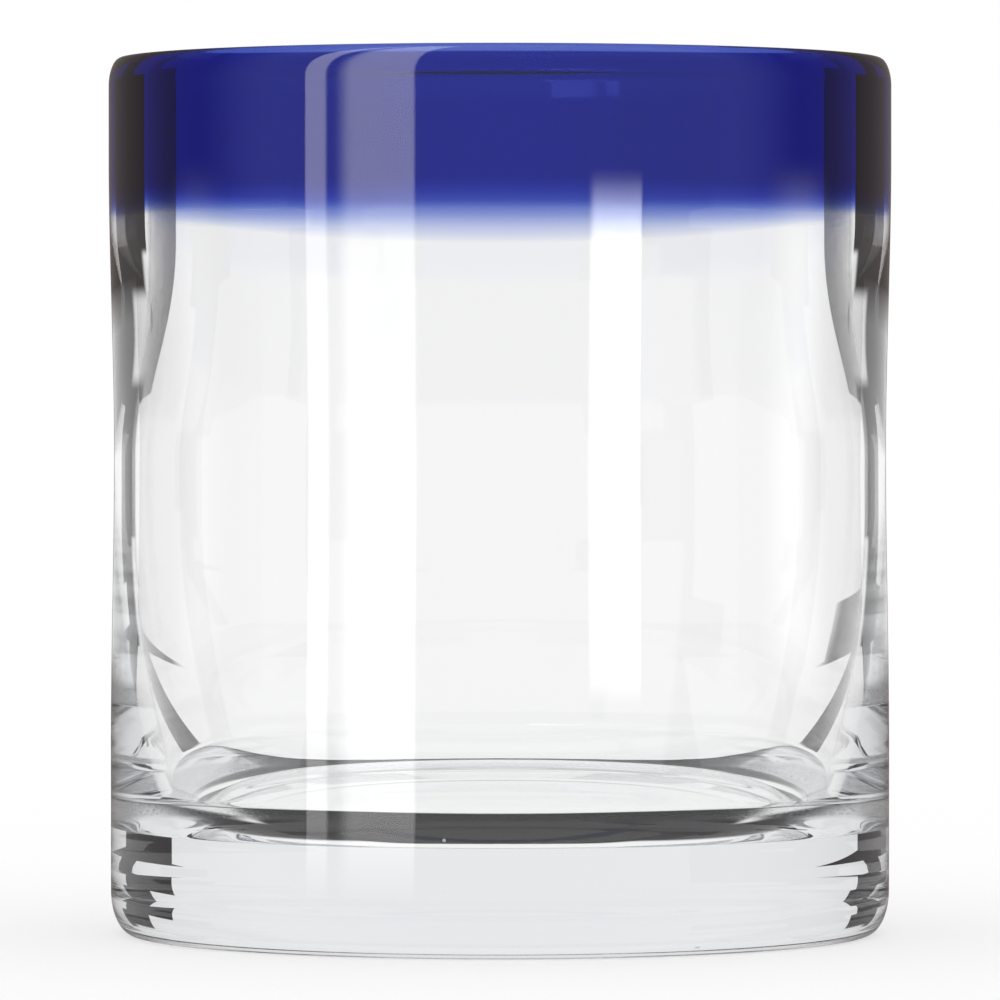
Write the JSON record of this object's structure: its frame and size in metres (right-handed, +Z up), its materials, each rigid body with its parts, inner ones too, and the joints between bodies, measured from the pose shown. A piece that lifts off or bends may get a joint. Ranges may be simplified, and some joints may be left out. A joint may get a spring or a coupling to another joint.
{
  "type": "rocks glass",
  "caption": "Short clear tumbler with a heavy base, nearly straight walls, a thick rounded lip and a cobalt-blue rim band, for holding a drink.",
  "frame": {"origin": "centre of the bearing ring that the glass stands on", "axes": "+Z up along the axis of revolution, towards the mouth; X and Y are free, because the glass is round"},
  "size_m": [0.089, 0.089, 0.0995],
  "materials": {
    "clear_glass": "fire-polished clear soda-lime glass",
    "cobalt_glass": "fire-polished cobalt-blue glass"
  },
  "bodies": {
    "root": {"clear_glass_body": "clear_glass", "cobalt_rim_band": "cobalt_glass"}
  },
  "joints": []
}
